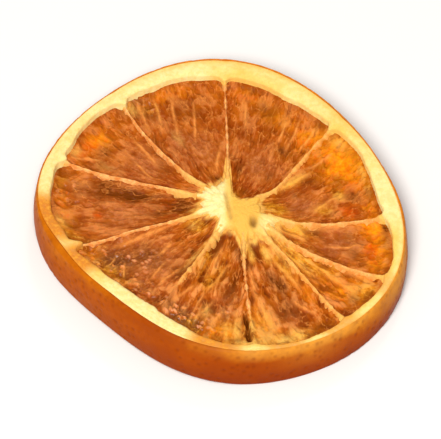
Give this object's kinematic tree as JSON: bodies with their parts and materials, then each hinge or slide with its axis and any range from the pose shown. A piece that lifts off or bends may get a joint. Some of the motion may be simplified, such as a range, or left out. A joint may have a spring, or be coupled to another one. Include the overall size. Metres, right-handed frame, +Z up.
{
  "type": "dried orange slice",
  "caption": "Dried round slice of an orange: a tall rim of rind and cream pith round a sunken sheet of amber pulp, with raised membranes running to a pale core.",
  "frame": {"origin": "under the middle of the slice's bounding box, on the plane it rests on", "axes": "+Z up through the slice, out of its upper cut face; +Y away from the viewer of the picture; +X to the viewer's right"},
  "size_m": [0.064, 0.0638, 0.0082],
  "materials": {
    "pulp": "dried translucent pulp, amber and rust brown, slightly glossy",
    "pith": "dry fibrous pith, cream to yellow, matt",
    "peel": "dried rind, deep orange, pitted, satin",
    "membrane": "thin dried membrane, pale peach orange, satin"
  },
  "bodies": {
    "root": {"orange_slice": "pulp"}
  },
  "joints": []
}
